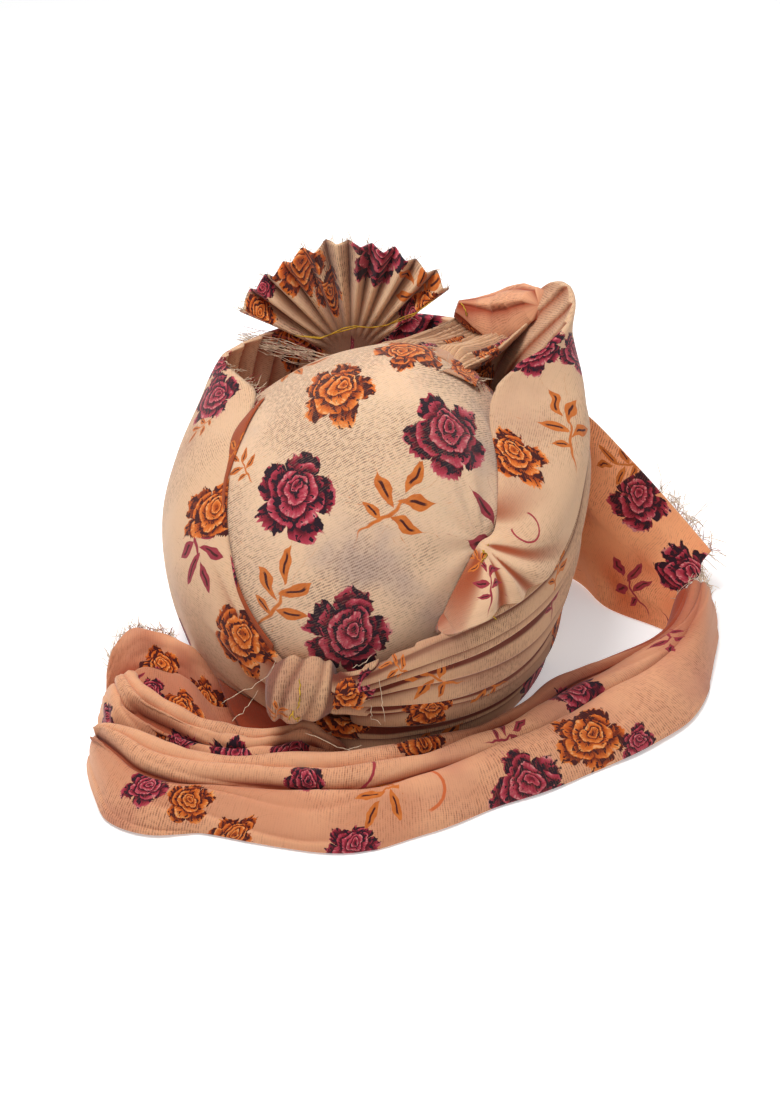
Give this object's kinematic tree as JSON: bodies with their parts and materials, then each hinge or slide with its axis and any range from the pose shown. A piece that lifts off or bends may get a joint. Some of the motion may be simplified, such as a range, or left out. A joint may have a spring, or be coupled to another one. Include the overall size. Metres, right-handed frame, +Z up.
{
  "type": "tied turban pagri",
  "caption": "Ready-tied turban of rose-printed muslin: hollow crown, wound turns, front knot, pleated fan, gathered roll and a long tail laid round the front.",
  "frame": {"origin": "middle of the bounding box on the surface that the rim and the tail lie on", "axes": "+X to the right of the front view, +Y from the knot at the front towards the back, +Z up"},
  "size_m": [0.3468, 0.3214, 0.1915],
  "materials": {
    "crown_muslin": "thin open-weave cream muslin with printed roses",
    "turn_muslin": "pleated cream-peach muslin with printed roses",
    "tail_muslin": "loose peach muslin in several layers with printed roses"
  },
  "bodies": {
    "root": {"cap": "crown_muslin", "left_turn": "turn_muslin", "right_turn": "turn_muslin", "lower_turn_1": "turn_muslin", "lower_turn_2": "turn_muslin", "lower_turn_3": "turn_muslin", "lower_turn_4": "turn_muslin", "knot": "turn_muslin", "knot_tuck": "turn_muslin", "fan": "turn_muslin", "roll": "turn_muslin", "tail_back": "tail_muslin", "tail_return": "tail_muslin", "tail_loop": "tail_muslin", "short_end": "tail_muslin"}
  },
  "joints": []
}
